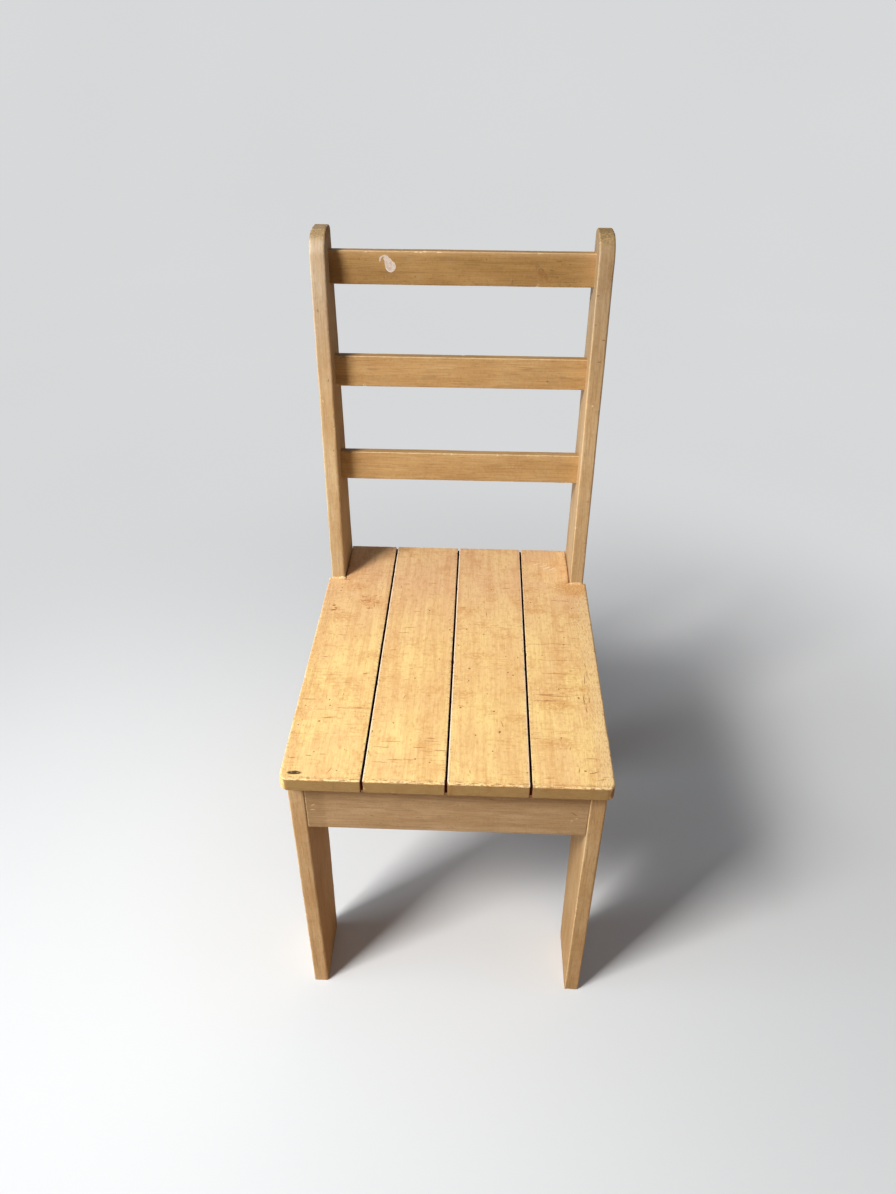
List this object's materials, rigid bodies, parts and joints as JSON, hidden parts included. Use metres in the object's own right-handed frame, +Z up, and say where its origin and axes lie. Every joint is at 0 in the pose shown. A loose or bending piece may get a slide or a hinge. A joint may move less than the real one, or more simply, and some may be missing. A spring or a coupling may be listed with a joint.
{
  "type": "painted wooden chair",
  "caption": "Plain wooden chair with a boarded seat, plank legs, tall back posts and flat back slats, in worn yellow paint, for one person to sit on.",
  "frame": {"origin": "on the floor, under the middle of the chair's outline", "axes": "+Z up, -Y the way a sitter faces, +X to the right as seen from the front"},
  "size_m": [0.4, 0.515, 0.955],
  "materials": {
    "seat_paint": "thin yellow paint over fine grain, worn, scuffed and chipped",
    "frame_paint": "aged golden-tan paint over fine grain, rubbed pale on the edges",
    "bare_wood": "bare planed softwood",
    "screw_steel": "dull zinc",
    "wood_filler": "smoothed wood filler under paint"
  },
  "bodies": {
    "root": {"seat_board_left": "seat_paint", "seat_board_mid_left": "seat_paint", "seat_board_mid_right": "seat_paint", "seat_board_right": "seat_paint", "back_post_left": "frame_paint", "back_post_right": "frame_paint", "back_slat_low": "frame_paint", "back_slat_middle": "frame_paint", "back_slat_top": "frame_paint", "front_leg_left": "frame_paint", "front_leg_right": "frame_paint", "front_apron": "frame_paint", "rear_rail": "frame_paint", "side_rail_left": "frame_paint", "side_rail_right": "frame_paint", "front_cleat": "bare_wood", "rear_cleat": "bare_wood", "seat_screws": "screw_steel", "leg_screws": "screw_steel", "post_screws": "screw_steel", "slat_screws": "screw_steel", "screw_plugs": "wood_filler", "apron_nails": "screw_steel", "rear_rail_nails": "screw_steel"}
  },
  "joints": []
}
